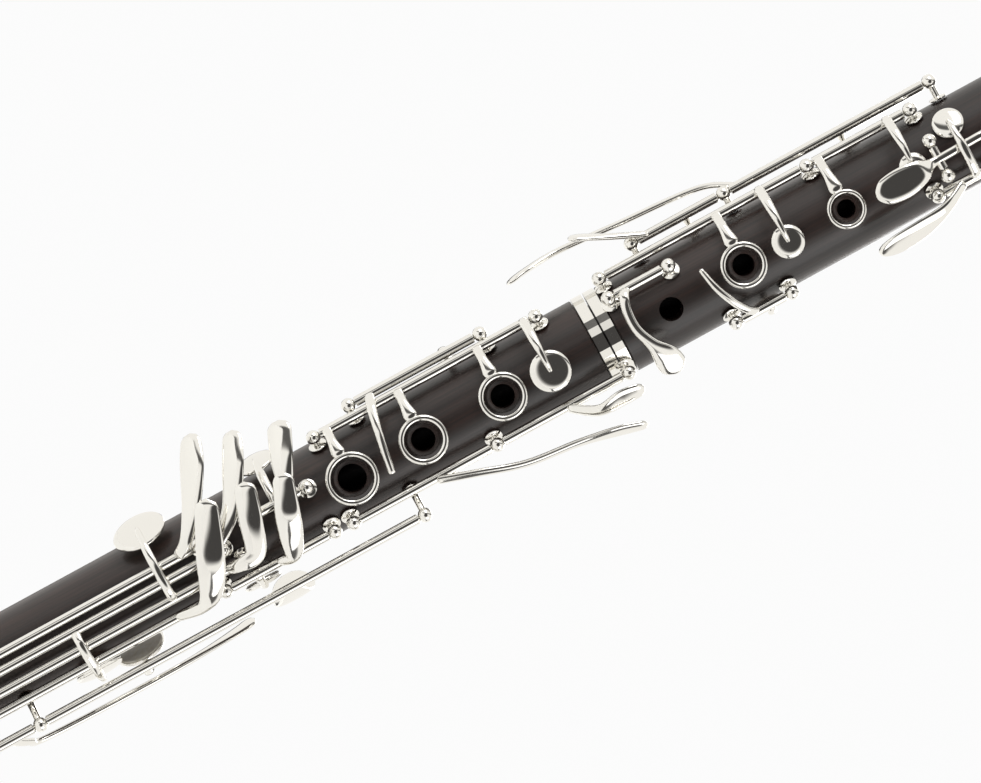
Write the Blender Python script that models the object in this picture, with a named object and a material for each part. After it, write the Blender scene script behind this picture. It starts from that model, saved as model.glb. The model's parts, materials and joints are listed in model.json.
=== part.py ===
# A basset clarinet, standing on its bell. Sizes are in millimetres and are turned into metres when a mesh is made.
# Height runs from the bell's rim. Across is towards the player's left (+X), and out is away from the axis to the
# front (-Y), so a place on the front has a positive out.
import math

import bmesh
import bpy
from mathutils import Vector

metre = 0.001
seatGap = 0.3
wallCut = 1.0

# Wood
bodyRadius = 13.9
boreRadius = 7.3
bellHeight = 105.0
bellRimRadius = 40.0
bellRimWall = 3.5
seamHeight = 500.0
ringWidth = 3.4
barrelBottom = 714.0
barrelTop = 779.0
barrelRadius = 16.0
barrelBandWidth = 4.0
mouthpieceTop = 852.0
mouthpieceRadius = 13.2
tipWidth = 6.5
tableCut = 4.0
ligatureGap = 0.6
holeTurn = 5.0
chimneyHeight = 1.6
chimneyWall = 1.3
bandThickness = 1.0

# Keywork
tubeRadius = 1.5
rodRadius = 0.8
rodClearance = 0.25
ballRadius = 2.2
postStemRadius = 1.1
postBaseRadius = 2.8
postBaseHeight = 1.0
hingeReach = 17.6
thumbReach = 24.2
armReach = 22.2
wideTurn = 60.0
armThickness = 1.7
armWidth = 2.8
cupHeight = 2.2
closedLift = 0.8
openLift = 3.0
bladeThickness = 1.8
ringDrop = 1.4
ringHeight = 1.3

roundSides = 36
ringSides = 20
cupSides = 16
tubeSides = 8

materials = {}


def material(name, color, metallic, roughness):
    made = bpy.data.materials.new(name)
    made.use_nodes = True
    shader = made.node_tree.nodes["Principled BSDF"]
    shader.inputs["Base Color"].default_value = (*color, 1.0)
    shader.inputs["Metallic"].default_value = metallic
    shader.inputs["Roughness"].default_value = roughness
    materials[name] = made


def polar(height, turn, radius):
    # A turn of 0 is the front, and grows towards the player's left.
    angle = math.radians(turn)
    return Vector((radius * math.sin(angle), -radius * math.cos(angle), height))


def place(height, across, out):
    return Vector((across, -out, height))


def turnOf(across, radius):
    return math.degrees(math.asin(across / radius))


def meshObject(name, points, faces):
    mesh = bpy.data.meshes.new(name)
    mesh.from_pydata([tuple(p) for p in points], [], faces)
    work = bmesh.new()
    work.from_mesh(mesh)
    bmesh.ops.remove_doubles(work, verts=work.verts, dist=1e-5)
    bmesh.ops.recalc_face_normals(work, faces=work.faces)
    work.to_mesh(mesh)
    work.free()
    made = bpy.data.objects.new(name, mesh)
    bpy.context.scene.collection.objects.link(made)
    return made


def turned(profile, start, axis, sides, closed=False):
    # Turns a profile of (radius, distance along the axis) points about the axis.
    axis = Vector(axis).normalized()
    side = axis.orthogonal().normalized()
    other = axis.cross(side)
    points = []
    for radius, along in profile:
        for k in range(sides):
            angle = 2 * math.pi * k / sides
            points.append(Vector(start) + axis * along + (side * math.cos(angle) + other * math.sin(angle)) * radius)
    rows = len(profile)
    faces = []
    for row in range(rows if closed else rows - 1):
        after = (row + 1) % rows
        for k in range(sides):
            nextK = (k + 1) % sides
            faces.append((row * sides + k, row * sides + nextK, after * sides + nextK, after * sides + k))
    if not closed:
        faces.append(tuple(range(sides)))
        faces.append(tuple((rows - 1) * sides + k for k in range(sides)))
    return meshObject("turned", points, faces)


def cylinder(start, end, radius, sides):
    axis = Vector(end) - Vector(start)
    return turned([(radius, 0), (radius, axis.length)], start, axis, sides)


def pipe(bottom, top, inner, outer, sides=roundSides):
    profile = [(inner, bottom), (outer, bottom), (outer, top), (inner, top)]
    return turned(profile, (0, 0, 0), (0, 0, 1), sides, closed=True)


def swept(stations, thickness):
    # Sweeps a flat oval along stations of (point, width). Its thin side faces away from the instrument's axis.
    sides = 8
    points = []
    count = len(stations)
    for index, (point, width) in enumerate(stations):
        before = stations[max(index - 1, 0)][0]
        after = stations[min(index + 1, count - 1)][0]
        along = (after - before).normalized()
        up = Vector((point.x, point.y, 0)).normalized()
        wide = along.cross(up)
        if wide.length < 0.2:
            wide = Vector((0, 0, 1))
        wide.normalize()
        thin = wide.cross(along).normalized()
        for k in range(sides):
            angle = 2 * math.pi * (k + 0.5) / sides
            points.append(point + wide * math.cos(angle) * width / 2 + thin * math.sin(angle) * thickness / 2)
    faces = []
    for row in range(count - 1):
        for k in range(sides):
            nextK = (k + 1) % sides
            faces.append((row * sides + k, row * sides + nextK, (row + 1) * sides + nextK, (row + 1) * sides + k))
    faces.append(tuple(range(sides)))
    faces.append(tuple((count - 1) * sides + k for k in range(sides)))
    return meshObject("swept", points, faces)


def combined(name, parts, cutters, materialName, origin=(0, 0, 0)):
    # One closed body: the parts are united, then the cutters are taken away.
    base = parts[0]
    for operation, tools in (("UNION", parts[1:]), ("DIFFERENCE", cutters)):
        for tool in tools:
            cut = base.modifiers.new("cut", "BOOLEAN")
            cut.operation = operation
            cut.solver = "EXACT"
            cut.object = tool
    bpy.context.view_layer.update()
    evaluated = base.evaluated_get(bpy.context.evaluated_depsgraph_get())
    mesh = bpy.data.meshes.new_from_object(evaluated)
    work = bmesh.new()
    work.from_mesh(mesh)
    bmesh.ops.translate(work, verts=work.verts, vec=-Vector(origin))
    bmesh.ops.scale(work, verts=work.verts, vec=(metre, metre, metre))
    bmesh.ops.triangulate(work, faces=work.faces)
    work.to_mesh(mesh)
    work.free()
    for tool in parts + cutters:
        bpy.data.objects.remove(tool)
    mesh.materials.clear()
    mesh.materials.append(materials[materialName])
    mesh.shade_smooth()
    mesh.set_sharp_from_angle(angle=math.radians(35))
    made = bpy.data.objects.new(name, mesh)
    made.location = Vector(origin) * metre
    bpy.context.scene.collection.objects.link(made)


def rod(name, across, radius, posts):
    # A hinge rod with the posts that carry it. Each post stands on the wood.
    turn = turnOf(across, radius)
    parts = [cylinder(polar(posts[0], turn, radius), polar(posts[-1], turn, radius), rodRadius, tubeSides)]
    foot = bodyRadius + seatGap
    for height in posts:
        base = polar(height, turn, foot)
        axis = polar(0, turn, 1)
        reach = radius - foot
        profile = [(postBaseRadius * 0.7, 0), (postBaseRadius, postBaseHeight * 0.5), (postStemRadius, postBaseHeight)]
        profile += [(postStemRadius, reach - ballRadius * 0.8)]
        for degrees in (-50, -10, 30, 65):
            angle = math.radians(degrees)
            profile.append((ballRadius * math.cos(angle), reach + ballRadius * math.sin(angle)))
        parts.append(turned(profile, base, axis, tubeSides))
    combined(name, parts, [], "steel")


def arm(height, fromTurn, fromRadius, toTurn, toRadius, width=armWidth):
    # An arm that bows over the body from the hinge tube to a cup or ring.
    stations = []
    steps = 6
    crosses = abs(toTurn - fromTurn) > wideTurn
    rise = armReach - max(fromRadius, toRadius) if crosses else 0.5
    for step in range(steps):
        share = step / (steps - 1)
        bow = math.sqrt(abs(math.sin(math.pi * share))) * rise
        radius = fromRadius + (toRadius - fromRadius) * share + bow
        stations.append((polar(height, fromTurn + (toTurn - fromTurn) * share, radius), width))
    return swept(stations, armThickness)


def cup(height, turn, radius, lift):
    start = polar(height, turn, bodyRadius + lift)
    profile = [(radius - 0.8, 0), (radius, 0.6), (radius, cupHeight * 0.6), (radius * 0.6, cupHeight)]
    return turned(profile, start, polar(0, turn, 1), cupSides)


def fingerRing(height, inner, outer):
    start = polar(height, holeTurn, bodyRadius + openLift - ringDrop)
    profile = [(inner, 0), (outer, 0), (outer - 0.3, ringHeight), (inner + 0.3, ringHeight)]
    return turned(profile, start, polar(0, holeTurn, 1), ringSides, closed=True)


def key(name, across, radius, bottom, top, cups=(), rings=(), blades=()):
    # A key: its hinge tube, the cups and rings on their arms, and the blades that a finger presses.
    turn = turnOf(across, radius)
    parts = [cylinder(polar(bottom, turn, radius), polar(top, turn, radius), tubeRadius, tubeSides)]
    cutters = [cylinder(polar(bottom - wallCut, turn, radius), polar(top + wallCut, turn, radius),
                        rodRadius + rodClearance, tubeSides)]
    for height, cupTurn, cupRadius, lift in cups:
        topRadius = bodyRadius + lift + cupHeight
        parts.append(cup(height, cupTurn, cupRadius, lift))
        parts.append(arm(height, turn, radius + 0.6, cupTurn, topRadius - 0.4))
    for height, inner, outer in rings:
        level = bodyRadius + openLift - ringDrop + ringHeight / 2
        side = (inner + outer) / 2
        ringTurn = holeTurn - math.degrees(math.atan2(side, level))
        parts.append(fingerRing(height, inner, outer))
        parts.append(arm(height, turn, radius + 0.6, ringTurn, math.hypot(side, level)))
    for blade in blades:
        parts.append(swept([(place(*spot), width) for spot, width in blade], bladeThickness))
    combined(name, parts, cutters, "silver", polar(0.5 * (bottom + top), turn, radius))


def wood():
    holes = [(415, 4.3), (438.7, 3.6), (465.2, 3.6), (545.5, 3.3), (579.8, 2.8)]
    bell = [(bellRimRadius - bellRimWall, 0), (bellRimRadius, 0), (bellRimRadius, 6), (33, 18), (26, 36), (21, 58)]
    bell += [(18.5, 80), (18.5, bellHeight - ringWidth - seatGap), (17, bellHeight - ringWidth - seatGap)]
    bell += [(17, bellHeight), (12.5, bellHeight), (12.5, 84), (boreRadius + 2, 82), (11, 60), (15, 40), (23, 20)]
    combined("bell", [turned(bell, (0, 0, 0), (0, 0, 1), roundSides, closed=True)], [], "grenadilla")
    combined("bell_socket_ring", [pipe(bellHeight - ringWidth, bellHeight, 17 + seatGap, 19.5)], [], "silver")
    rim = bellRimRadius + seatGap
    combined("bell_rim_ring", [pipe(0.6, 5, rim, rim + bandThickness)], [], "silver")
    ringInner = bodyRadius - 1.2
    for name, bottom, top, sign in (("lower_joint", 86, seamHeight, 1), ("upper_joint", seamHeight, barrelBottom, -1)):
        if sign > 0:
            edge = top - seatGap - ringWidth
            outline = [(boreRadius, bottom), (12.5 - seatGap, bottom), (12.5 - seatGap, bellHeight + seatGap)]
            outline += [(bodyRadius, bellHeight + seatGap), (bodyRadius, edge - seatGap)]
            outline += [(ringInner - seatGap, edge - seatGap), (ringInner - seatGap, top - seatGap)]
            outline += [(11.2, top - seatGap), (11.2, top - 18), (boreRadius, top - 18)]
        else:
            edge = bottom + seatGap + ringWidth
            outline = [(boreRadius, bottom - 16), (10.2, bottom - 16), (10.2, bottom + seatGap)]
            outline += [(ringInner - seatGap, bottom + seatGap), (ringInner - seatGap, edge + seatGap)]
            outline += [(bodyRadius, edge + seatGap), (bodyRadius, top - seatGap), (11, top - seatGap)]
            outline += [(11, top + 14), (boreRadius, top + 14)]
        parts = [turned(outline, (0, 0, 0), (0, 0, 1), roundSides, closed=True)]
        cutters = []
        for height, radius in holes:
            if bottom < height < top:
                base = polar(height, holeTurn, boreRadius + 2)
                tall = bodyRadius + chimneyHeight - 0.4 - boreRadius - 2
                parts.append(turned([(radius + chimneyWall, 0), (radius + chimneyWall, tall)], base,
                                    polar(0, holeTurn, 1), cupSides))
                cutters.append(cylinder(polar(height, holeTurn, boreRadius - 3), polar(height, holeTurn, 22),
                                        radius, cupSides))
        if sign < 0:
            cutters.append(cylinder(polar(520.8, 11, boreRadius - 3), polar(520.8, 11, 22), 3.6, cupSides))
        combined(name, parts, cutters, "grenadilla")
        ringBottom = seamHeight - seatGap - ringWidth if sign > 0 else seamHeight + seatGap
        combined(name + "_ring", [pipe(ringBottom, ringBottom + ringWidth, ringInner, bodyRadius + 0.3)], [], "silver")
    combined("middle_tenon_cork", [pipe(seamHeight - 13, seamHeight - 3, 10.2 + seatGap, 11.2 - seatGap)], [], "cork")


def headPieces():
    barrel = [(boreRadius, barrelBottom + 15), (11.4, barrelBottom + 15), (11.4, barrelBottom)]
    barrel += [(barrelRadius - 1, barrelBottom), (barrelRadius - 1, barrelBottom + barrelBandWidth)]
    barrel += [(barrelRadius - 0.2, barrelBottom + barrelBandWidth + seatGap), (barrelRadius + 0.8, 746)]
    barrel += [(barrelRadius - 0.2, barrelTop - barrelBandWidth - seatGap)]
    barrel += [(barrelRadius - 1, barrelTop - barrelBandWidth), (barrelRadius - 1, barrelTop), (11.4, barrelTop)]
    barrel += [(11.4, barrelTop - 15), (boreRadius, barrelTop - 15)]
    combined("barrel", [turned(barrel, (0, 0, 0), (0, 0, 1), roundSides, closed=True)], [], "grenadilla")
    band = barrelRadius - 1 + seatGap
    combined("barrel_lower_ring", [pipe(barrelBottom, barrelBottom + barrelBandWidth, band, band + bandThickness)], [],
             "silver")
    combined("barrel_upper_ring", [pipe(barrelTop - barrelBandWidth, barrelTop, band, band + bandThickness)], [],
             "silver")
    beakStart = 818.0
    body = turned([(11, barrelTop - 14), (11, barrelTop + seatGap), (mouthpieceRadius, barrelTop + seatGap),
                   (mouthpieceRadius, beakStart), (mouthpieceRadius - 1, mouthpieceTop)], (0, 0, 0), (0, 0, 1),
                  roundSides)
    table = mouthpieceRadius - tableCut
    wide = 2 * mouthpieceRadius
    corners = [(-wide, table, 784), (wide, table, 784), (wide, wide, 784), (-wide, wide, 784)]
    corners += [(x, y, 900) for x, y, _ in corners]
    boxFaces = [(0, 1, 2, 3), (4, 5, 6, 7), (0, 1, 5, 4), (1, 2, 6, 5), (2, 3, 7, 6), (3, 0, 4, 7)]
    flat = meshObject("flat", corners, boxFaces)
    beak = [(x, y, z) for x in (-wide, wide) for y, z in ((-wide, beakStart), (-wide, 900), (tipWidth + 6, 900),
                                                          (tipWidth, mouthpieceTop))]
    beakFaces = [(0, 1, 2, 3), (4, 5, 6, 7), (0, 1, 5, 4), (1, 2, 6, 5), (2, 3, 7, 6), (3, 0, 4, 7)]
    slope = meshObject("slope", beak, beakFaces)
    bore = cylinder((0, 0, barrelTop - 20), (0, 0, beakStart - 8), boreRadius, roundSides)
    combined("mouthpiece", [body], [flat, slope, bore], "ebonite")
    reedSpots = [(784.5, 3.0, 12.6), (812, 3.0, 12.8), (832, 1.8, 12.8), (mouthpieceTop - 0.5, 0.5, 12.4)]
    reedPoints = []
    for height, thick, width in reedSpots:
        near = table + seatGap
        reedPoints += [(-width / 2, near, height), (width / 2, near, height)]
        reedPoints += [(width * 0.34, near + thick, height), (-width * 0.34, near + thick, height)]
    reedFaces = [(0, 1, 2, 3), (12, 13, 14, 15)]
    for row in range(3):
        reedFaces += [(row * 4 + k, row * 4 + (k + 1) % 4, row * 4 + 4 + (k + 1) % 4, row * 4 + 4 + k) for k in range(4)]
    combined("reed", [meshObject("reed", reedPoints, reedFaces)], [], "cane")
    clamp = mouthpieceRadius + ligatureGap
    combined("ligature", [turned([(clamp, 788), (clamp + 0.9, 788), (clamp + 0.9, 812), (clamp, 812)], (0, 0, 0),
                                 (0, 0, 1), roundSides, closed=True)], [], "silver")
    for name, height in (("ligature_lower_screw", 793), ("ligature_upper_screw", 806)):
        start = (-5, clamp + 0.9 + seatGap + 1.2, height)
        screw = [(1.2, 0), (1.2, 11.8), (2.2, 11.8), (2.2, 14.5)]
        combined(name, [turned(screw, start, (1, 0, 0), tubeSides)], [], "silver")


def rods():
    rod("right_ring_key_rod", -14.6, hingeReach, [410.5, 484.8])
    rod("banana_key_rod", -18.0, 19.6, [424, 468])
    rod("upper_stack_rod", -15.3, hingeReach, [506.5, 576, 610.5])
    rod("c_sharp_key_rod", -9.0, hingeReach, [506, 526])
    rod("sliver_key_rod", 15.2, hingeReach, [535.8, 554.5])
    rod("throat_g_sharp_rod", 10.9, hingeReach, [605.3, 624])
    rod("side_key_rod", -20.0, 20.2, [520, 551, 620])
    rod("low_e_key_rod", 7.3, hingeReach, [206, 376])
    rod("low_f_key_rod", 1.7, hingeReach, [142, 372])
    rod("low_d_key_rod", -2.8, hingeReach, [150, 366])
    rod("low_e_flat_rod", 12.6, hingeReach, [192, 366.5, 403])
    rod("a_flat_key_rod", -2.8, hingeReach, [382, 402])
    rod("thumb_key_rod", 21.0, thumbReach, [120, 300, 428.5])
    rod("left_lever_rod", 13.0, hingeReach, [409, 457, 501])


def keys():
    holeCupTurn = holeTurn
    key("right_ring_key", -14.6, hingeReach, 412.8, 482.5, cups=[(481, holeCupTurn, 6.2, openLift)],
        rings=[(415, 6.3, 8.0), (438.7, 5.6, 7.4), (465.2, 5.6, 7.3)])
    key("banana_key", -18.0, 19.6, 426.3, 465.7, cups=[(456, -112, 5, closedLift)],
        blades=[[((431, -18, 9.5), 3), ((430, -14.6, 15), 3), ((428.5, -8, 18.2), 2.6), ((427, 0, 19), 2.4),
                 ((426, 6, 18), 2.2)]])
    key("second_ring_key", -15.3, hingeReach, 508.8, 573.7, cups=[(560.1, holeCupTurn, 5.0, openLift)],
        rings=[(545.5, 5.3, 7.0)])
    key("first_ring_key", -15.3, hingeReach, 578.3, 608.2, cups=[(602.7, 0, 4.3, openLift)],
        rings=[(579.8, 4.5, 5.9)])
    key("c_sharp_key", -9.0, hingeReach, 508.3, 523.7,
        blades=[[((512, -9, 16), 3), ((510.4, -7.4, 18.8), 3), ((509, -3, 19.4), 3), ((509, 3, 19), 3),
                 ((511, 9, 17.5), 4), ((512.8, 14, 15.5), 8), ((513.6, 18, 13.5), 8), ((514, 20, 12.5), 4)]])
    key("sliver_key", 15.2, hingeReach, 538.1, 552.2, cups=[(547, 98, 4.5, closedLift)],
        blades=[[((543, 15.2, 10.3), 3), ((540.5, 13.5, 13.5), 2.6), ((537.5, 9, 16.4), 2.4), ((535, 3, 18), 2.2),
                 ((533.5, -3.8, 17.6), 1.8)]])
    key("throat_g_sharp_key", 10.9, hingeReach, 607.6, 621.7, cups=[(618, -25, 4.8, closedLift)],
        blades=[[((614, 10.9, 15.5), 3), ((606, 15, 17.5), 4), ((597, 17, 16.5), 7.5), ((588, 17.6, 15.5), 8),
                 ((582, 17.4, 15), 4)]])
    key("side_key_lower", -20.0, 20.2, 522.3, 548.7, cups=[(538, -106, 4.5, closedLift)],
        blades=[[((526, -20, 5), 3), ((516, -24.5, 6.5), 3.4), ((508, -28.5, 7.5), 5.5), ((504, -30, 8), 4)]])
    key("side_key_upper", -20.0, 20.2, 553.3, 617.7, cups=[(590, -106, 4.5, closedLift)],
        blades=[[((556, -20.3, 0.2), 3), ((545, -25, -2), 3), ((520, -27, -2), 3), ((500, -28.5, -1), 3.6),
                 ((489, -28, 0), 8), ((482, -27, 1), 7)]])
    key("low_e_key", 7.3, hingeReach, 208.3, 373.7, cups=[(352.3, -57, 8.3, openLift)],
        blades=[[((370, 7.3, 17.8), 3.2), ((374, 8, 21.3), 4), ((380, 7, 22.4), 6), ((383.5, -2, 25), 7),
                 ((387, -13, 24.5), 6.5)]])
    key("low_f_key", 1.7, hingeReach, 144.3, 369.7, cups=[(322.3, 80, 7.6, closedLift)],
        blades=[[((367, 1.7, 19), 3.2), ((372, -1, 21.4), 4), ((380, -8, 21), 5.5), ((386.5, -19, 19.5), 7),
                 ((390.8, -28, 16), 6)]])
    key("low_d_key", -2.8, hingeReach, 152.3, 363.7, cups=[(180, -57, 8.3, openLift)],
        blades=[[((359, -2.8, 18.8), 3.2), ((364, -6, 21), 4), ((370, -14, 20.4), 6), ((376, -25, 18), 8),
                 ((379.5, -33, 14.5), 6)]])
    key("low_e_flat_key", 12.6, hingeReach, 194.3, 364.2, cups=[(262, -57, 8.3, openLift)],
        blades=[[((350, 12.6, 13.6), 3), ((358, 13.6, 16), 4.5), ((363, 11, 20.5), 7), ((368, 2, 25.2), 8.5),
                 ((375, -14, 25), 7)]])
    key("f_sharp_key", 12.6, hingeReach, 368.8, 400.7, cups=[(377, 88, 6, closedLift)],
        blades=[[((384, 12.6, 13.6), 3), ((389, 13, 16.5), 5), ((391.5, 8, 21), 7), ((394, 1, 25), 7.5),
                 ((398.3, -10, 25), 6)]])
    key("a_flat_key", -2.8, hingeReach, 384.3, 399.7, cups=[(392, -66, 6, openLift)],
        blades=[[((395, -2.8, 18.8), 3.2), ((397, -6, 21), 4.5), ((400, -14, 20.4), 7), ((404.3, -24, 17), 8)]])
    key("low_c_sharp_key", 21.0, thumbReach, 302.3, 426.2, cups=[(335, 118, 8, openLift)],
        blades=[[((383, 21.3, 11.6), 5), ((383, 24, 0), 12), ((383, 22, -9), 14), ((383, 17, -16), 10)]])
    key("low_c_key", 21.0, thumbReach, 122.3, 297.7, cups=[(150, 118, 8, openLift)],
        blades=[[((290, 21.4, 11.4), 3), ((294, 24, 5), 3), ((300, 25.5, -1), 3), ((340, 26, -4), 3), ((362, 25, -6), 8),
                 ((369, 24, -8), 7)]])
    key("left_lever_low", 13.0, hingeReach, 411.3, 454.7,
        blades=[[((436, 13.6, 12.6), 3), ((448, 17.6, 12.6), 3), ((462, 22, 12), 3), ((478, 24, 12), 3.4), ((490, 26.5, 12), 6),
                 ((499, 29, 11.5), 5)]])
    key("left_lever_high", 13.0, hingeReach, 459.3, 498.7,
        blades=[[((480, 13.4, 13), 3), ((488, 18.5, 14.5), 5), ((496, 18.5, 16), 7), ((503, 19, 16), 5)]])


def crossKey(name, height, out, leftEnd, rightEnd, stations, cupHeightAlong, cupTurn, cupRadius):
    # A key that rocks about a pivot across the instrument, between two posts.
    parts = [cylinder((leftEnd, -out, height), (rightEnd, -out, height), tubeRadius, tubeSides)]
    parts.append(swept([(place(*spot), width) for spot, width in stations], bladeThickness))
    parts.append(cup(cupHeightAlong, cupTurn, cupRadius, closedLift))
    cutters = [cylinder((leftEnd - wallCut, -out, height), (rightEnd + wallCut, -out, height),
                        rodRadius + rodClearance, tubeSides)]
    combined(name, parts, cutters, "silver", (0.5 * (leftEnd + rightEnd), -out, height))


def crossRod(name, height, out, leftEnd, rightEnd):
    gap = ballRadius + 0.1
    ends = (leftEnd - gap, rightEnd + gap)
    parts = [cylinder((ends[0], -out, height), (ends[1], -out, height), rodRadius, tubeSides)]
    sign = 1 if out > 0 else -1
    for end in ends:
        foot = math.sqrt((bodyRadius + seatGap) ** 2 - (abs(end) - postBaseRadius * 0.2) ** 2) + 0.6
        reach = abs(out) - foot
        profile = [(postStemRadius, 0), (postStemRadius, reach - ballRadius * 0.8)]
        for degrees in (-50, -10, 30, 65):
            angle = math.radians(degrees)
            profile.append((ballRadius * math.cos(angle), reach + ballRadius * math.sin(angle)))
        parts.append(turned(profile, (end, -sign * foot, height), (0, -sign, 0), tubeSides))
    combined(name, parts, [], "steel")


def rockers():
    crossRod("throat_a_rod", 610.3, 17.8, -2.2, 4.6)
    crossKey("throat_a_key", 610.3, 17.8, -2.2, 4.6,
             [((588.5, 2.6, 21.4), 4), ((592, 2.6, 21.6), 8), ((598, 2.6, 21.5), 9.2), ((604, 2.2, 21), 7),
              ((608, 1.6, 19), 3), ((614, 1.4, 18.4), 2.6), ((624, 1.2, 17.6), 2.6), ((632, 1.2, 16.6), 2.4)],
             632, holeTurn, 4.6)
    crossRod("register_rod", 690, -17.8, -3.4, 3.4)
    crossKey("register_key", 690, -17.8, -3.4, 3.4,
             [((664, 0, -19.4), 6), ((672, 0, -20), 7), ((682, 0, -19.2), 4), ((692, 0, -18.8), 3),
              ((702, 0, -17), 3), ((706, 0, -16.6), 3)], 706, 180, 4.2)


def thumbRest():
    plate = [((440, 0, -14.9), 12), ((446, 0, -14.9), 14), ((456, 0, -14.9), 14), ((460, 0, -14.9), 10)]
    hook = [((452, 0, -14.8), 12), ((451, 0, -20), 13), ((449, 0, -27), 12)]
    parts = [swept([(place(*spot), width) for spot, width in plate], 1.0)]
    parts.append(swept([(place(*spot), width) for spot, width in hook], 2.0))
    round_ = cylinder((0, 0, 430), (0, 0, 470), bodyRadius + seatGap, roundSides)
    combined("thumb_rest", parts, [round_], "silver")


for old in list(bpy.data.objects):
    bpy.data.objects.remove(old)
material("grenadilla", (0.035, 0.022, 0.018), 0.0, 0.32)
material("silver", (0.84, 0.83, 0.81), 1.0, 0.12)
material("steel", (0.72, 0.71, 0.69), 1.0, 0.2)
material("ebonite", (0.012, 0.012, 0.012), 0.0, 0.2)
material("cane", (0.72, 0.55, 0.28), 0.0, 0.6)
material("cork", (0.55, 0.36, 0.2), 0.0, 0.9)
wood()
headPieces()
rods()
keys()
rockers()
thumbRest()
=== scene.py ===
import json
import math

import bpy
import numpy as np
from mathutils import Matrix, Vector


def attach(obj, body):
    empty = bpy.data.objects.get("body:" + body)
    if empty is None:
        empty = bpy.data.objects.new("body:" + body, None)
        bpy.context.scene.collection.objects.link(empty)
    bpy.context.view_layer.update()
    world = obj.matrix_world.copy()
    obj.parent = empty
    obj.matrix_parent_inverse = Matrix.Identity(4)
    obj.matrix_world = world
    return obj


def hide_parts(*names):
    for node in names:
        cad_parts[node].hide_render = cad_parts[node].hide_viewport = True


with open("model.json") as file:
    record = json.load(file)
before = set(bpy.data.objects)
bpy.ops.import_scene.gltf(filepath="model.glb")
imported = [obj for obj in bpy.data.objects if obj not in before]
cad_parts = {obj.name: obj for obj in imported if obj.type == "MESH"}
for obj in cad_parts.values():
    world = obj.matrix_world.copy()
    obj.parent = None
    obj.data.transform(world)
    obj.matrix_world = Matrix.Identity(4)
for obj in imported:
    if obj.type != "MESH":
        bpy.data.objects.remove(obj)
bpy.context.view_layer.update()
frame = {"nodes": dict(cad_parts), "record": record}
mm = 0.001


# Colours are sRGB hex, turned linear here.
def linear(hexColor):
    parts = [int(hexColor[k:k + 2], 16) / 255 for k in (1, 3, 5)]
    return tuple(c / 12.92 if c <= 0.04045 else ((c + 0.055) / 1.055) ** 2.4 for c in parts) + (1.0,)


def addNode(tree, kind, values=None, **settings):
    node = tree.nodes.new(kind)
    for key, value in settings.items():
        setattr(node, key, value)
    for key, value in (values or {}).items():
        node.inputs[key].default_value = value
    return node


# A colour ramp with two stops, each a position and a linear colour.
def addRamp(tree, *stops):
    ramp = addNode(tree, "ShaderNodeValToRGB")
    for element, (position, colour) in zip(ramp.color_ramp.elements, stops):
        element.position = position
        element.color = colour
    return ramp


def plainMaterial(name, values):
    made = bpy.data.materials.new(name)
    made.use_nodes = True
    shader = made.node_tree.nodes["Principled BSDF"]
    for key, value in values.items():
        shader.inputs[key].default_value = value
    return made, made.node_tree, shader


# Grenadilla: near black, with fine pores drawn out along the bore and faint brown streaks.
woodLook = {"dark": "#17100E", "brown": "#33221D", "darkTo": 0.16, "brownFrom": 0.42, "rough": 0.34,
            "poreRough": 0.14, "pore": (1400.0, 1400.0, 45.0), "streak": (160.0, 160.0, 7.0),
            "bump": 0.25, "poreDepth": 0.00008, "coat": 0.25, "coatRough": 0.18}


# Colour = ramp(pore noise x streak noise). Roughness and bump follow the pore noise alone.
def woodMaterial():
    made, tree, shader = plainMaterial("grenadilla_look", {"Coat Weight": woodLook["coat"],
                                                           "Coat Roughness": woodLook["coatRough"]})
    spot = addNode(tree, "ShaderNodeTexCoord")
    stretch = addNode(tree, "ShaderNodeMapping", {"Scale": woodLook["pore"]})
    grain = addNode(tree, "ShaderNodeTexNoise", {"Scale": 1.0, "Detail": 5.0, "Roughness": 0.6})
    broad = addNode(tree, "ShaderNodeMapping", {"Scale": woodLook["streak"]})
    streak = addNode(tree, "ShaderNodeTexNoise", {"Scale": 1.0, "Detail": 3.0})
    mixed = addNode(tree, "ShaderNodeMath", operation="MULTIPLY")
    ramp = addRamp(tree, (woodLook["darkTo"], linear(woodLook["dark"])),
                   (woodLook["brownFrom"], linear(woodLook["brown"])))
    rough = addNode(tree, "ShaderNodeMapRange", {"To Min": woodLook["rough"] + woodLook["poreRough"],
                                                 "To Max": woodLook["rough"]})
    bump = addNode(tree, "ShaderNodeBump", {"Strength": woodLook["bump"], "Distance": woodLook["poreDepth"]})
    links = tree.links
    links.new(spot.outputs["Object"], stretch.inputs["Vector"])
    links.new(spot.outputs["Object"], broad.inputs["Vector"])
    links.new(stretch.outputs["Vector"], grain.inputs["Vector"])
    links.new(broad.outputs["Vector"], streak.inputs["Vector"])
    links.new(grain.outputs["Fac"], mixed.inputs[0])
    links.new(streak.outputs["Fac"], mixed.inputs[1])
    links.new(mixed.outputs["Value"], ramp.inputs["Fac"])
    links.new(ramp.outputs["Color"], shader.inputs["Base Color"])
    links.new(grain.outputs["Fac"], rough.inputs["Value"])
    links.new(rough.outputs["Result"], shader.inputs["Roughness"])
    links.new(grain.outputs["Fac"], bump.inputs["Height"])
    links.new(bump.outputs["Normal"], shader.inputs["Normal"])
    return made


markScale = 260.0
toneEdges = (0.35, 0.65)


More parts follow.
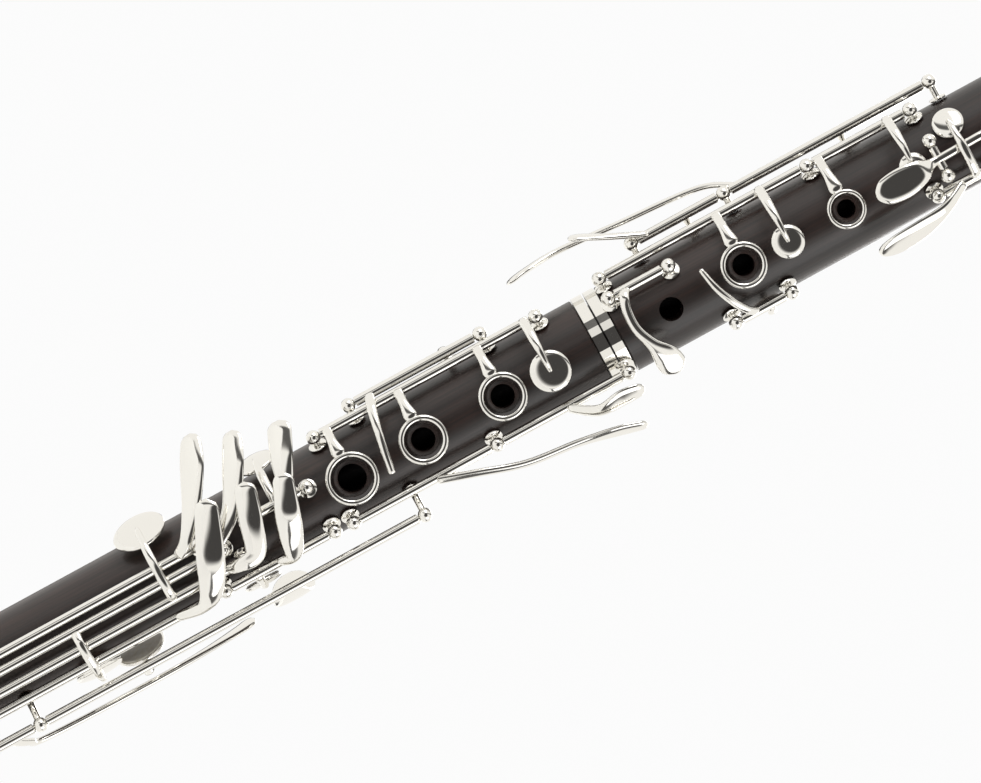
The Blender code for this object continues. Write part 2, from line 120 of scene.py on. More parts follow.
# Polished metal: a mirror whose roughness runs from low to high with faint handling marks.
def metalMaterial(name, hexColor, low, high):
    made, tree, shader = plainMaterial(name, {"Base Color": linear(hexColor), "Metallic": 1.0})
    spot = addNode(tree, "ShaderNodeTexCoord")
    marks = addNode(tree, "ShaderNodeTexNoise", {"Scale": markScale, "Detail": 4.0})
    rough = addNode(tree, "ShaderNodeMapRange", {"To Min": low, "To Max": high})
    tree.links.new(spot.outputs["Object"], marks.inputs["Vector"])
    tree.links.new(marks.outputs["Fac"], rough.inputs["Value"])
    tree.links.new(rough.outputs["Result"], shader.inputs["Roughness"])
    return made


# Cane, cork, pad skin and ebonite: two tones mixed by noise, which on cane is drawn out along the bore.
def tonedMaterial(name, first, second, roughness, across, along):
    made, tree, shader = plainMaterial(name, {"Roughness": roughness})
    spot = addNode(tree, "ShaderNodeTexCoord")
    stretch = addNode(tree, "ShaderNodeMapping", {"Scale": (across, across, along)})
    noise = addNode(tree, "ShaderNodeTexNoise", {"Scale": 1.0, "Detail": 4.0})
    ramp = addRamp(tree, (toneEdges[0], linear(first)), (toneEdges[1], linear(second)))
    tree.links.new(spot.outputs["Object"], stretch.inputs["Vector"])
    tree.links.new(stretch.outputs["Vector"], noise.inputs["Vector"])
    tree.links.new(noise.outputs["Fac"], ramp.inputs["Fac"])
    tree.links.new(ramp.outputs["Color"], shader.inputs["Base Color"])
    return made


looks = {
    "grenadilla": woodMaterial(),
    "silver": metalMaterial("silver_look", "#EFEDE8", 0.05, 0.11),
    "steel": metalMaterial("steel_look", "#DAD7D0", 0.08, 0.16),
    "ebonite": tonedMaterial("ebonite_look", "#0B0B0C", "#141415", 0.18, 300.0, 300.0),
    "cane": tonedMaterial("cane_look", "#B98D4E", "#DDBB7C", 0.55, 2600.0, 60.0),
    "cork": tonedMaterial("cork_look", "#7C5531", "#B98B5A", 0.9, 900.0, 900.0),
    "pad": tonedMaterial("pad_look", "#E8E2D4", "#F3EFE6", 0.6, 700.0, 700.0),
}
slotOf = {entry["node"]: entry["material_slot"] for entry in frame["record"]["subparts"]}

for nodeName, slotName in slotOf.items():
    obj = frame["nodes"][nodeName]
    if not obj.material_slots:
        obj.data.materials.append(looks[slotName])
    for materialSlot in obj.material_slots:
        materialSlot.material = looks[slotName]
print("materials on", len(slotOf), "nodes")


# Camera: it looks along +Y, rolled so that the bore rises by roll degrees to the right, as in the photograph.
# Its distance from the plane that is drawn to scale = picture width in mm x lens / sensor.
cameraLook = {"roll": 28.6, "pixelsPerMm": 3.4, "pixelsWide": 981, "lens": 200.0, "sensor": 36.0,
              "across": -1.6, "height": 462.7, "plane": -8.0, "clipEnd": 20}


def makeCamera():
    roll = math.radians(cameraLook["roll"])
    width = cameraLook["pixelsWide"] / cameraLook["pixelsPerMm"]
    distance = width * cameraLook["lens"] / cameraLook["sensor"]
    right = Vector((math.sin(roll), 0, math.cos(roll)))
    up = Vector((-math.cos(roll), 0, math.sin(roll)))
    back = Vector((0, -1, 0))
    turn = Matrix((right, up, back)).transposed().to_4x4()
    spot = Vector((cameraLook["across"], cameraLook["plane"] - distance, cameraLook["height"])) * mm
    data = bpy.data.cameras.new("camera")
    data.lens = cameraLook["lens"]
    data.sensor_width = cameraLook["sensor"]
    data.clip_end = cameraLook["clipEnd"]
    made = bpy.data.objects.new("camera", data)
    made.matrix_world = Matrix.Translation(spot) @ turn
    bpy.context.scene.collection.objects.link(made)
    bpy.context.scene.camera = made


def areaLight(name, spot, aim, size, power):
    data = bpy.data.lights.new(name, "AREA")
    data.shape = "RECTANGLE"
    data.size, data.size_y = size
    data.energy = power
    made = bpy.data.objects.new(name, data)
    made.location = spot
    made.rotation_euler = (Vector(aim) - Vector(spot)).to_track_quat("-Z", "Y").to_euler()
    bpy.context.scene.collection.objects.link(made)


# The stage is in metres. The camera sees the world as one pale tone. Everything else sees pale panels with a
# dark room towards roomTowards and dark gaps along gapAlong. Each edge is where a level starts and ends.
stageLook = {"floor": "#EDEDEC", "floorRough": 0.8, "floorHalf": 1.2, "seen": (0.97, 0.97, 0.97, 1),
             "panel": (1.0, 0.985, 0.95, 1), "dark": (0.012, 0.010, 0.010, 1),
             "roomTowards": (0.16, -0.97, 0.18), "roomEdge": (0.84, 0.93), "roomLevels": (1.0, 0.05),
             "gapAlong": (0.78, -0.2, -0.6), "gapWaves": 5.2, "gapEdge": (-0.98, -0.72),
             "gapLevels": (0.1, 1.0), "aim": (0, 0, 0.45)}
lamps = [("key_light", (-1.6, -1.2, 1.7), (1.4, 1.0), 18),
         ("fill_light", (2.0, -0.9, 0.6), (1.2, 1.4), 8),
         ("back_light", (0.4, 1.8, 1.3), (1.4, 1.2), 18)]


def smoothLevel(tree, edge, levels):
    return addNode(tree, "ShaderNodeMapRange", {"From Min": edge[0], "From Max": edge[1],
                                                "To Min": levels[0], "To Max": levels[1]},
                   interpolation_type="SMOOTHSTEP")


def makeStage():
    data = bpy.data.meshes.new("floor")
    half = stageLook["floorHalf"]
    corners = [(-half, -half, 0), (half, -half, 0), (half, half, 0), (-half, half, 0)]
    data.from_pydata(corners, [], [(0, 1, 2, 3)])
    floor = bpy.data.objects.new("floor", data)
    floorLook = plainMaterial("floor_look", {"Base Color": linear(stageLook["floor"]),
                                             "Roughness": stageLook["floorRough"]})[0]
    data.materials.append(floorLook)
    bpy.context.scene.collection.objects.link(floor)
    world = bpy.data.worlds.new("studio")
    bpy.context.scene.world = world
    world.use_nodes = True
    tree = world.node_tree
    tree.nodes.clear()
    # In direction d, level = room(d . roomTowards) x gap(sin(gapWaves x d . gapAlong)), from dark to panel.
    spot = addNode(tree, "ShaderNodeTexCoord")
    toRoom = addNode(tree, "ShaderNodeVectorMath", {1: stageLook["roomTowards"]}, operation="DOT_PRODUCT")
    room = smoothLevel(tree, stageLook["roomEdge"], stageLook["roomLevels"])
    toGap = addNode(tree, "ShaderNodeVectorMath", {1: stageLook["gapAlong"]}, operation="DOT_PRODUCT")
    gapWave = addNode(tree, "ShaderNodeMath", {1: stageLook["gapWaves"]}, operation="MULTIPLY")
    gapSine = addNode(tree, "ShaderNodeMath", operation="SINE")
    gap = smoothLevel(tree, stageLook["gapEdge"], stageLook["gapLevels"])
    both = addNode(tree, "ShaderNodeMath", operation="MULTIPLY")
    ramp = addRamp(tree, (0.0, stageLook["dark"]), (1.0, stageLook["panel"]))
    mirrored = addNode(tree, "ShaderNodeBackground", {"Strength": 1.0})
    seen = addNode(tree, "ShaderNodeBackground", {"Color": stageLook["seen"], "Strength": 1.0})
    path = addNode(tree, "ShaderNodeLightPath")
    choose = addNode(tree, "ShaderNodeMixShader")
    output = addNode(tree, "ShaderNodeOutputWorld")
    links = tree.links
    links.new(spot.outputs["Generated"], toRoom.inputs[0])
    links.new(toRoom.outputs["Value"], room.inputs["Value"])
    links.new(spot.outputs["Generated"], toGap.inputs[0])
    links.new(toGap.outputs["Value"], gapWave.inputs[0])
    links.new(gapWave.outputs["Value"], gapSine.inputs[0])
    links.new(gapSine.outputs["Value"], gap.inputs["Value"])
    links.new(room.outputs["Result"], both.inputs[0])
    links.new(gap.outputs["Result"], both.inputs[1])
    links.new(both.outputs["Value"], ramp.inputs["Fac"])
    links.new(ramp.outputs["Color"], mirrored.inputs["Color"])
    links.new(path.outputs["Is Camera Ray"], choose.inputs["Fac"])
    links.new(mirrored.outputs["Background"], choose.inputs[1])
    links.new(seen.outputs["Background"], choose.inputs[2])
    links.new(choose.outputs["Shader"], output.inputs["Surface"])
    for name, place, size, power in lamps:
        areaLight(name, place, stageLook["aim"], size, power)
    bpy.context.scene.view_settings.view_transform = "Standard"


# Shapes. Heights run along the bore, across is to the player's left, out is to the front; all in millimetres.
# pole is the radius at which a turned shape closes.
woodRadius = 13.9
pole = 0.01
sharpAngle = math.radians(38)
sizes = {"tube": 1.5, "rod": 0.8, "ball": 2.2, "stem": 1.1, "base": 2.8, "hinge": 17.6, "thumbHinge": 24.2,
         "bladeThick": 1.9, "closed": 0.8, "open": 3.0, "holeTurn": 5.0, "gap": 0.3,
         "tubeClear": 0.25, "tubeBevel": 0.1, "rodInset": 0.3}


# (x, y, z) = (radius sin turn, -radius cos turn, height): a turn of 0 is the front.
def polar(height, turn, radius):
    angle = math.radians(turn)
    return np.array([radius * math.sin(angle), -radius * math.cos(angle), height])


# Four-sided faces between neighbouring rows of points. With closedRows the last row joins the first.
def gridFaces(rows, columns, first, closedRows):
    index = np.arange(rows * columns).reshape(rows, columns) + first
    if closedRows:
        index = np.vstack([index, index[:1]])
    nextColumn = np.roll(index, -1, axis=1)
    return np.stack([index[:-1], nextColumn[:-1], nextColumn[1:], index[1:]], axis=-1).reshape(-1, 4).tolist()


# A profile of (radius, distance) points turned about an axis: start + axis x distance + around x radius.
def turned(profile, start, axis, sides=48, closedRows=False):
    profile = np.array(profile, float)
    angles = np.linspace(0, 2 * math.pi, sides, endpoint=False)
    axis = np.array(axis, float) / np.linalg.norm(axis)
    side = np.cross(axis, [0, 0, 1.0] if abs(axis[2]) < 0.9 else [1.0, 0, 0])
    side /= np.linalg.norm(side)
    around = np.cos(angles)[:, None] * side + np.sin(angles)[:, None] * np.cross(axis, side)
    radii, distances = profile[:, 0, None, None], profile[:, 1, None, None]
    return np.array(start) + distances * axis + radii * around[None], closedRows


# A curve through the stations, in share t from b to c: 1/2 (2b + (c-a)t + (2a-5b+4c-d)t^2 + (3b-a-3c+d)t^3).
# Section: half width x sign(cos) |cos|^flatness across, half thickness x sin outwards. Towards both ends it
# shrinks by sqrt(1 - (1 - s)^2), with s the distance to the end over (taper x half width), at most 1.
sweepLook = {"taper": 0.9, "flatness": 0.85, "leastWidth": 0.5, "leastEnd": 0.0004}


def swept(stations, thickness, steps=56, sides=28):
    given = np.array([[*place, width] for place, width in stations], float)
    steady = np.linspace(0, len(given) - 1, steps)
    low = np.clip(steady.astype(int), 0, len(given) - 2)
    share = (steady - low)[:, None]
    padded = np.vstack([2 * given[0] - given[1], given, 2 * given[-1] - given[-2]])
    a, b, c, d = padded[low], padded[low + 1], padded[low + 2], padded[low + 3]
    path = 0.5 * (2 * b + (c - a) * share + (2 * a - 5 * b + 4 * c - d) * share ** 2
                  + (3 * b - a - 3 * c + d) * share ** 3)
    spots, widths = path[:, :3], path[:, 3]
    along = np.gradient(spots, axis=0)
    lengths = np.linalg.norm(along, axis=1)
    along /= lengths[:, None]
    up = spots * np.array([1.0, 1.0, 0])
    up /= np.linalg.norm(up, axis=1)[:, None]
    wide = np.cross(along, up)
    wide /= np.linalg.norm(wide, axis=1)[:, None]
    thin = np.cross(wide, along)
    run = np.concatenate([[0], np.cumsum(np.linalg.norm(np.diff(spots, axis=0), axis=1))])
    halfEnd = sweepLook["taper"] * np.maximum(widths, sweepLook["leastWidth"]) / 2
    fromEnd = np.clip(np.minimum(run, run[-1] - run) / halfEnd, 0, 1)
    rounded = np.sqrt(np.clip(1 - (1 - fromEnd) ** 2, sweepLook["leastEnd"], 1))[:, None, None]
    angles = np.linspace(0, 2 * math.pi, sides, endpoint=False)
    flat = np.sign(np.cos(angles)) * np.abs(np.cos(angles)) ** sweepLook["flatness"]
    ring = (widths[:, None, None] / 2 * flat[None, :, None] * wide[:, None]
            + thickness / 2 * np.sin(angles)[None, :, None] * thin[:, None])
    return spots[:, None] + ring * rounded, False


# One object of closed grids. A grid whose rows don't close gets a flat cap at each end.
def makePiece(name, parts, body, replaced=None, slotName="silver", look=None):
    points, faces, count = [], [], 0
    for grid, closedRows in parts:
        rows, columns = grid.shape[:2]
        points.append(grid.reshape(-1, 3))
        faces += gridFaces(rows, columns, count, closedRows)
        if not closedRows:
            faces.append(tuple(range(count + columns - 1, count - 1, -1)))
            faces.append(tuple(range(count + (rows - 1) * columns, count + rows * columns)))
        count += rows * columns
    mesh = bpy.data.meshes.new(name)
    mesh.from_pydata((np.vstack(points) * mm).tolist(), [], faces)
    mesh.shade_smooth()
    mesh.set_sharp_from_angle(angle=sharpAngle)
    piece = bpy.data.objects.new(name, mesh)
    piece.data.materials.append(look or looks[slotName])
    bpy.context.scene.collection.objects.link(piece)
    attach(piece, body)
    if replaced:
        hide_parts(replaced)
    return piece


# turn = asin(across / radius)
def turnOf(across, radius):
    return math.degrees(math.asin(across / radius))


# A post's moulding as (share of the base's radius, height), then its collar, stem and ball.
postLook = {"moulding": [(0.86, 0), (1, 0.25), (1, 0.5), (0.86, 0.72)], "collar": 1.5, "collarHigh": 0.95,
            "stemFrom": 1.1, "stemLeast": 1.15, "ballShare": 0.86, "ballTurns": (-55, 89, 20), "sides": 40}


# The ball's outline (ball cos a, reach + ball sin a), from the stem up to its top.
def ballOutline(reach):
    angles = np.radians(np.linspace(*postLook["ballTurns"]))
    return [(sizes["ball"] * math.cos(a), reach + sizes["ball"] * math.sin(a)) for a in angles]


# A post: a moulded base, a waisted stem and a ball that the rod runs through.
def postParts(height, turn, radius):
    foot = woodRadius + sizes["gap"]
    reach = radius - foot
    stemTop = max(reach - sizes["ball"] * postLook["ballShare"], postLook["stemLeast"])
    profile = [(pole, 0)] + [(sizes["base"] * share, high) for share, high in postLook["moulding"]]
    profile += [(sizes["stem"] * postLook["collar"], postLook["collarHigh"]),
                (sizes["stem"], postLook["stemFrom"]), (sizes["stem"], stemTop)]
    profile += ballOutline(reach)
    return turned(profile, polar(height, turn, foot), polar(0, turn, 1), postLook["sides"])


def makeRod(name, across, radius, posts):
    turn = turnOf(across, radius)
    length = posts[-1] - posts[0] + 2 * (sizes["ball"] - sizes["rodInset"])
    start = polar(posts[0] - sizes["ball"] + sizes["rodInset"], turn, radius)
    parts = [turned([(sizes["rod"], 0), (sizes["rod"], length)], start, (0, 0, 1), 32)]
    parts += [postParts(height, turn, radius) for height in posts]
    makePiece(name + "_shown", parts, "body", name, "steel", looks["silver"])


armLook = {"top": 22.2, "thick": 1.7, "wide": 2.8, "lift": 0.6, "sink": 0.4, "farTurn": 60, "nearRise": 0.5,
           "stations": 9, "flareFrom": 0.55, "cupEnd": 1.2, "ringEnd": 5.0}


# An arm round the wood. At share s its radius = from + (to - from) s + rise sqrt(sin(pi s)), and beyond
# flareFrom its width runs from wide to endWidth.
def armParts(height, fromTurn, fromRadius, toTurn, toRadius, endWidth):
    far = abs(toTurn - fromTurn) > armLook["farTurn"]
    rise = armLook["top"] - max(fromRadius, toRadius) if far else armLook["nearRise"]
    stations = []
    for share in np.linspace(0, 1, armLook["stations"]):
        arch = math.sqrt(abs(math.sin(math.pi * share))) * rise
        radius = fromRadius + (toRadius - fromRadius) * share + arch
        flare = max(0, share - armLook["flareFrom"]) / (1 - armLook["flareFrom"])
        width = armLook["wide"] + (endWidth - armLook["wide"]) * flare
        stations.append((polar(height, fromTurn + (toTurn - fromTurn) * share, radius), width))
    return swept(stations, armLook["thick"])


# rim: (inset from the cup's radius, height); wall and shoulder: (inset, share of the cup's height).
cupLook = {"high": 2.2, "sole": 0.35, "rim": [(0.5, 0.35), (0.15, 0.3), (0, 0.5)], "wall": (0, 0.45),
           "shoulder": (0.2, 0.6), "domeInset": 0.3, "domeFrom": 0.55, "domeTurns": (12, 90, 12), "sides": 64}


# A pad cup: a rolled rim and a low dome, of (radius cos a, high (domeFrom + (1 - domeFrom) sin a)).
def cupParts(height, turn, radius, lift):
    high, base = cupLook["high"], cupLook["domeFrom"]
    profile = [(pole, cupLook["sole"])] + [(radius - inset, level) for inset, level in cupLook["rim"]]
    profile += [(radius - inset, high * share) for inset, share in (cupLook["wall"], cupLook["shoulder"])]
    for a in np.radians(np.linspace(*cupLook["domeTurns"])):
        domeRadius = (radius - cupLook["domeInset"]) * math.cos(a) + pole
        profile.append((domeRadius, high * base + high * (1 - base) * math.sin(a)))
    return turned(profile, polar(height, turn, woodRadius + lift), polar(0, turn, 1), cupLook["sides"])


# A pad: a pale disc that stands out below its cup's rim. edge: (inset from the pad's radius, height).
padLook = {"inset": 0.7, "edge": [(0.5, 0), (0.12, 0.12), (0, 0.4), (0, 0.54)], "below": 0.15, "sides": 48}


def makePad(name, body, height, turn, radius, lift):
    wide = radius - padLook["inset"]
    profile = [(pole, 0)] + [(wide - inset, level) for inset, level in padLook["edge"]]
    start = polar(height, turn, woodRadius + lift - padLook["below"])
    disc = turned(profile, start, polar(0, turn, 1), padLook["sides"])
    makePiece(name, [disc], body, None, "silver", looks["pad"])


ringLook = {"half": 0.65, "drop": 1.4, "section": 20, "sides": 72}


# A finger ring: a section of (middle + half width cos a, half (1 + sin a)), turned about its hole's axis.
def ringParts(height, inner, outer):
    middle, half, tall = (inner + outer) / 2, (outer - inner) / 2, ringLook["half"]
    angles = np.linspace(0, 2 * math.pi, ringLook["section"], endpoint=False)
    profile = [(middle + half * math.cos(a), tall + tall * math.sin(a)) for a in angles]
    turn = sizes["holeTurn"]
    start = polar(height, turn, woodRadius + sizes["open"] - ringLook["drop"])
    return turned(profile, start, polar(0, turn, 1), ringLook["sides"], True)


def tubeParts(bottom, top, turn, radius):
    wall, bevel, length = sizes["tube"], sizes["tubeBevel"], top - bottom
    bore = sizes["rod"] + sizes["tubeClear"]
    profile = [(bore, 0), (wall - bevel, 0), (wall, bevel), (wall, length - bevel), (wall - bevel, length),
               (bore, length)]
    return turned(profile, polar(bottom, turn, radius), (0, 0, 1), 36, True)


# A blade's stations come as ((height, across, out), width).
def bladeParts(blade):
    stations = [((across, -out, height), width) for (height, across, out), width in blade]
    return swept(stations, sizes["bladeThick"])


# A ring's arm ends at its side: turn = hole turn - atan(ring radius / level), radius = hypot of the two.
def makeKey(name, across, radius, bottom, top, cups, rings, blades):
    turn = turnOf(across, radius)
    parts = [tubeParts(bottom, top, turn, radius)]
    for height, cupTurn, cupRadius, lift in cups:
        parts.append(cupParts(height, cupTurn, cupRadius, sizes[lift]))
        end = woodRadius + sizes[lift] + cupLook["high"] - armLook["sink"]
        parts.append(armParts(height, turn, radius + armLook["lift"], cupTurn, end, armLook["cupEnd"]))
        makePad(name + "_pad", name, height, cupTurn, cupRadius, sizes[lift])
    for height, inner, outer in rings:
        level = woodRadius + sizes["open"] - ringLook["drop"] + ringLook["half"]
        side = (inner + outer) / 2
        ringTurn = sizes["holeTurn"] - math.degrees(math.atan2(side, level))
        parts.append(ringParts(height, inner, outer))
        parts.append(armParts(height, turn, radius + armLook["lift"], ringTurn, math.hypot(side, level),
                              armLook["ringEnd"]))
    parts += [bladeParts(blade) for blade in blades]
    makePiece(name + "_shown", parts, name, name)


# Rods: name, across, distance from the bore's axis, and the heights of the posts.
rodPlaces = [
    ("right_ring_key_rod", -14.6, sizes["hinge"], [410.5, 484.8]),
    ("banana_key_rod", -18.0, 19.6, [424, 468]),
    ("upper_stack_rod", -15.3, sizes["hinge"], [506.5, 576, 610.5]),
    ("c_sharp_key_rod", -9.0, sizes["hinge"], [506, 526]),
    ("sliver_key_rod", 15.2, sizes["hinge"], [535.8, 554.5]),
    ("throat_g_sharp_rod", 10.9, sizes["hinge"], [605.3, 624]),
    ("side_key_rod", -20.0, 20.2, [520, 551, 620]),
    ("low_e_key_rod", 7.3, sizes["hinge"], [206, 376]),
    ("low_f_key_rod", 1.7, sizes["hinge"], [142, 372]),
    ("low_d_key_rod", -2.8, sizes["hinge"], [150, 366]),
    ("low_e_flat_rod", 12.6, sizes["hinge"], [192, 366.5, 403]),
    ("a_flat_key_rod", -2.8, sizes["hinge"], [382, 402]),
    ("thumb_key_rod", 21.0, sizes["thumbHinge"], [120, 300, 428.5]),
    ("left_lever_rod", 13.0, sizes["hinge"], [409, 457, 501]),
]

# Keys: name, across, distance from the bore's axis, the tube's bottom and top, then three lists: pad cups
# (height, turn, radius, lift), finger rings (height, inner, outer radius) and blades.
keyPlaces = [
    ("right_ring_key", -14.6, sizes["hinge"], 412.8, 482.5,
     [(481, 5, 6.2, "open")],
     [(415, 6.3, 8.0), (438.7, 5.6, 7.4), (465.2, 5.6, 7.3)],
     []),
    ("banana_key", -18.0, 19.6, 426.3, 465.7,
     [(456, -112, 5, "closed")],
     [],
     [[((431, -18, 9.5), 3), ((430, -14.6, 15), 3), ((428.5, -8, 18.2), 2.6), ((427, 0, 19), 2.4),
      ((426, 6, 18), 2.2)]]),
    ("second_ring_key", -15.3, sizes["hinge"], 508.8, 573.7,
     [(560.1, 5, 5.0, "open")],
     [(545.5, 5.3, 7.0)],
     []),
    ("first_ring_key", -15.3, sizes["hinge"], 578.3, 608.2,
     [(602.7, 0, 4.3, "open")],
     [(579.8, 4.5, 5.9)],
     []),
    ("c_sharp_key", -9.0, sizes["hinge"], 508.3, 523.7,
     [],
     [],
     [[((512, -9, 16), 3), ((510.4, -7.4, 18.8), 3), ((509, -3, 19.4), 3), ((509, 3, 19), 3),
      ((511, 9, 17.5), 4), ((512.8, 14, 15.5), 8), ((513.6, 18, 13.5), 8), ((514, 20, 12.5), 4)]]),
    ("sliver_key", 15.2, sizes["hinge"], 538.1, 552.2,
     [(547, 98, 4.5, "closed")],
     [],
     [[((543, 15.2, 10.3), 3), ((540.5, 13.5, 13.5), 2.6), ((537.5, 9, 16.4), 2.4),
      ((535, 3, 18), 2.2), ((533.5, -3.8, 17.6), 1.8)]]),
    ("throat_g_sharp_key", 10.9, sizes["hinge"], 607.6, 621.7,
     [(618, -25, 4.8, "closed")],
     [],
     [[((614, 10.9, 15.5), 3), ((606, 15, 17.5), 4), ((597, 17, 16.5), 7.5), ((588, 17.6, 15.5), 8),
      ((582, 17.4, 15), 4)]]),
    ("side_key_lower", -20.0, 20.2, 522.3, 548.7,
     [(538, -106, 4.5, "closed")],
     [],
     [[((526, -20, 5), 3), ((516, -24.5, 6.5), 3.4), ((508, -28.5, 7.5), 5.5), ((504, -30, 8), 4)]]),
    ("side_key_upper", -20.0, 20.2, 553.3, 617.7,
     [(590, -106, 4.5, "closed")],
     [],
     [[((556, -20.3, 0.2), 3), ((545, -25, -2), 3), ((520, -27, -2), 3), ((500, -28.5, -1), 3.6),
      ((489, -28, 0), 8), ((482, -27, 1), 7)]]),
    ("low_e_key", 7.3, sizes["hinge"], 208.3, 373.7,
     [(352.3, -57, 8.3, "open")],
     [],
     [[((370, 7.3, 17.8), 3.2), ((374, 8, 21.3), 4), ((380, 7, 22.4), 6), ((383.5, -2, 25), 7),
      ((387, -13, 24.5), 6.5)]]),
    ("low_f_key", 1.7, sizes["hinge"], 144.3, 369.7,
     [(322.3, 80, 7.6, "closed")],
     [],
     [[((367, 1.7, 19), 3.2), ((372, -1, 21.4), 4), ((380, -8, 21), 5.5), ((386.5, -19, 19.5), 7),
      ((390.8, -28, 16), 6)]]),
    ("low_d_key", -2.8, sizes["hinge"], 152.3, 363.7,
     [(180, -57, 8.3, "open")],
     [],
     [[((359, -2.8, 18.8), 3.2), ((364, -6, 21), 4), ((370, -14, 20.4), 6), ((376, -25, 18), 8),
      ((379.5, -33, 14.5), 6)]]),
    ("low_e_flat_key", 12.6, sizes["hinge"], 194.3, 364.2,
     [(262, -57, 8.3, "open")],
     [],
     [[((350, 12.6, 13.6), 3), ((358, 13.6, 16), 4.5), ((363, 11, 20.5), 7), ((368, 2, 25.2), 8.5),
      ((375, -14, 25), 7)]]),
    ("f_sharp_key", 12.6, sizes["hinge"], 368.8, 400.7,
     [(377, 88, 6, "closed")],
     [],
     [[((384, 12.6, 13.6), 3), ((389, 13, 16.5), 5), ((391.5, 8, 21), 7), ((394, 1, 25), 7.5),
      ((398.3, -10, 25), 6)]]),
    ("a_flat_key", -2.8, sizes["hinge"], 384.3, 399.7,
     [(392, -66, 6, "open")],
     [],
     [[((395, -2.8, 18.8), 3.2), ((397, -6, 21), 4.5), ((400, -14, 20.4), 7), ((404.3, -24, 17), 8)]]),
    ("low_c_sharp_key", 21.0, sizes["thumbHinge"], 302.3, 426.2,
     [(335, 118, 8, "open")],
     [],
     [[((383, 21.3, 11.6), 5), ((383, 24, 0), 12), ((383, 22, -9), 14), ((383, 17, -16), 10)]]),
    ("low_c_key", 21.0, sizes["thumbHinge"], 122.3, 297.7,
     [(150, 118, 8, "open")],
     [],
     [[((290, 21.4, 11.4), 3), ((294, 24, 5), 3), ((300, 25.5, -1), 3), ((340, 26, -4), 3),
      ((362, 25, -6), 8), ((369, 24, -8), 7)]]),
    ("left_lever_low", 13.0, sizes["hinge"], 411.3, 454.7,
     [],
     [],
     [[((436, 13.6, 12.6), 3), ((448, 17.6, 12.6), 3), ((462, 22, 12), 3), ((478, 24, 12), 3.4),
      ((490, 26.5, 12), 6), ((499, 29, 11.5), 5)]]),
    ("left_lever_high", 13.0, sizes["hinge"], 459.3, 498.7,
     [],
     [],
     [[((480, 13.4, 13), 3), ((488, 18.5, 14.5), 5), ((496, 18.5, 16), 7), ((503, 19, 16), 5)]]),
]


# Keys that rock on a pivot across the instrument: name, the pivot's height and out, its ends across,
# the cup (height, turn, radius) and the blade.
crossPlaces = [
    ("throat_a", 610.3, 17.8, -2.2, 4.6, (632, 5, 4.6),
     [((588.5, 2.6, 21.4), 4), ((592, 2.6, 21.6), 8), ((598, 2.6, 21.5), 9.2), ((604, 2.2, 21), 7),
      ((608, 1.6, 19), 3), ((614, 1.4, 18.4), 2.6), ((624, 1.2, 17.6), 2.6), ((632, 1.2, 16.6), 2.4)]),
    ("register", 690, -17.8, -3.4, 3.4, (706, 180, 4.2),
     [((664, 0, -19.4), 6), ((672, 0, -20), 7), ((682, 0, -19.2), 4), ((692, 0, -18.8), 3),
      ((702, 0, -17), 3), ((706, 0, -16.6), 3)]),
]


crossLook = {"clear": 0.1, "footShare": 0.2, "footLift": 0.6, "stemLeast": 0.1}


# Each post stands clear of the round wood: foot = sqrt(wood radius^2 - distance across^2) + footLift.
def makeCrossKey(name, height, out, leftEnd, rightEnd, cup, blade):
    wall, bore, length = sizes["tube"], sizes["rod"] + sizes["tubeClear"], rightEnd - leftEnd
    tube = turned([(bore, 0), (wall, 0), (wall, length), (bore, length)], (leftEnd, -out, height),
                  (1, 0, 0), 36, True)
    cupHeight, cupTurn, cupRadius = cup
    dome = cupParts(cupHeight, cupTurn, cupRadius, sizes["closed"])
    makePiece(name + "_key_shown", [tube, bladeParts(blade), dome], name + "_key", name + "_key")
    makePad(name + "_pad", name + "_key", cupHeight, cupTurn, cupRadius, sizes["closed"])
    ends = (leftEnd - sizes["ball"] - crossLook["clear"], rightEnd + sizes["ball"] + crossLook["clear"])
    rodOutline = [(sizes["rod"], 0), (sizes["rod"], ends[1] - ends[0])]
    parts = [turned(rodOutline, (ends[0], -out, height), (1, 0, 0), 32)]
    sign = 1 if out > 0 else -1
    for end in ends:
        across = abs(end) - sizes["base"] * crossLook["footShare"]
        foot = math.sqrt((woodRadius + sizes["gap"]) ** 2 - across ** 2) + crossLook["footLift"]
        reach = abs(out) - foot
        stemTop = max(reach - sizes["ball"] * postLook["ballShare"], crossLook["stemLeast"])
        profile = [(pole, 0), (sizes["stem"], 0), (sizes["stem"], stemTop)] + ballOutline(reach)
        parts.append(turned(profile, (end, -sign * foot, height), (0, -sign, 0), postLook["sides"]))
    makePiece(name + "_rod_shown", parts, "body", name + "_rod", "steel", looks["silver"])


def makeKeywork():
    for name, across, radius, posts in rodPlaces:
        makeRod(name, across, radius, posts)
    print("rods", len(rodPlaces))
    for entry in keyPlaces:
        makeKey(*entry)
    for entry in crossPlaces:
        makeCrossKey(*entry)
    print("keys", len(keyPlaces) + len(crossPlaces))


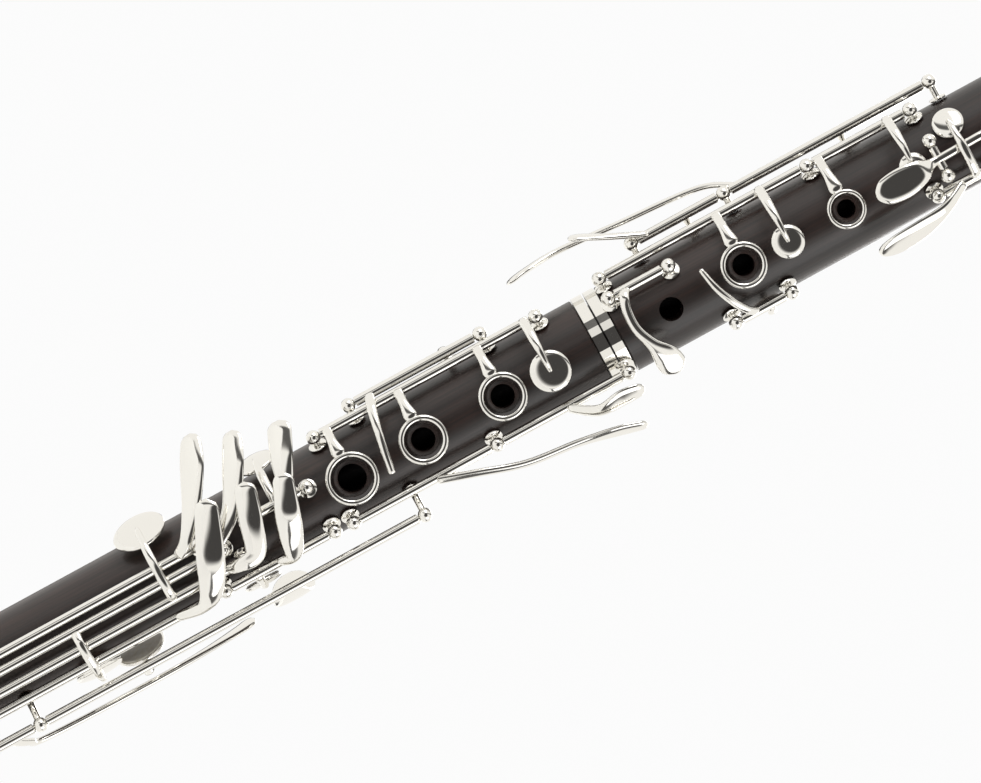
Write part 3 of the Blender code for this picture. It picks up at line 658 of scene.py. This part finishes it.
# Turned wood: the solids' outlines (radius, height) with finer sides, and each joint's finger holes as
# (height, turn, radius, thickness of the chimney's wall, or 0 for a hole with no chimney).
woodPlaces = [
    ("lower_joint",
     [(7.3, 86), (12.2, 86), (12.2, 105.3), (13.6, 105.3), (woodRadius, 105.6), (woodRadius, 495.7),
      (13.6, 496.0), (12.4, 496.0), (12.4, 499.7), (11.2, 499.7), (11.2, 482), (7.3, 482)],
     [(415, 5, 4.3, 1.3), (438.7, 5, 3.6, 1.3), (465.2, 5, 3.6, 1.3)]),
    ("upper_joint",
     [(7.3, 484), (10.2, 484), (10.2, 500.3), (12.4, 500.3), (12.4, 504.0), (13.6, 504.0),
      (woodRadius, 504.3), (woodRadius, 713.4), (13.6, 713.7), (11, 713.7), (11, 728), (7.3, 728)],
     [(545.5, 5, 3.3, 1.3), (579.8, 5, 2.8, 1.3), (520.8, 11, 3.6, 0)]),
]
woodCuts = {"sides": 180, "holeSides": 64, "chimneyFrom": 9.3, "chimneyAbove": 1.2, "edgeIn": 0.3,
            "edgeDown": 0.2, "holeFrom": 4.5, "holeDeep": 18}


def makeWood():
    for name, outline, holes in woodPlaces:
        grid = turned(outline, (0, 0, 0), (0, 0, 1), woodCuts["sides"], True)
        piece = makePiece(name + "_shown", [grid], "body", name, "grenadilla")
        for height, turn, radius, wall in holes:
            out, sides = polar(0, turn, 1), woodCuts["holeSides"]
            if wall:
                outer, top = radius + wall, woodRadius + woodCuts["chimneyAbove"] - woodCuts["chimneyFrom"]
                chimney = [(outer, 0), (outer, top - woodCuts["edgeDown"]), (outer - woodCuts["edgeIn"], top)]
                start = polar(height, turn, woodCuts["chimneyFrom"])
                cutMesh(piece, "UNION", turned(chimney, start, out, sides))
            hole = [(radius, 0), (radius, woodCuts["holeDeep"])]
            cutMesh(piece, "DIFFERENCE", turned(hole, polar(height, turn, woodCuts["holeFrom"]), out, sides))


# The piece joined with, or cut by, a turned shape with flat ends.
def cutMesh(piece, operation, part):
    grid = part[0]
    rows, columns = grid.shape[:2]
    faces = gridFaces(rows, columns, 0, False)
    faces += [tuple(range(columns - 1, -1, -1)), tuple(range((rows - 1) * columns, rows * columns))]
    mesh = bpy.data.meshes.new("tool")
    mesh.from_pydata((grid.reshape(-1, 3) * mm).tolist(), [], faces)
    tool = bpy.data.objects.new("tool", mesh)
    bpy.context.scene.collection.objects.link(tool)
    cut = piece.modifiers.new("cut", "BOOLEAN")
    cut.operation = operation
    cut.solver = "EXACT"
    cut.object = tool
    bpy.context.view_layer.update()
    made = bpy.data.meshes.new_from_object(piece.evaluated_get(bpy.context.evaluated_depsgraph_get()))
    piece.modifiers.clear()
    piece.data = made
    made.shade_smooth()
    made.set_sharp_from_angle(angle=sharpAngle)
    bpy.data.objects.remove(tool)


makeCamera()
makeStage()
print("camera and stage")
makeKeywork()
makeWood()
print("wood")
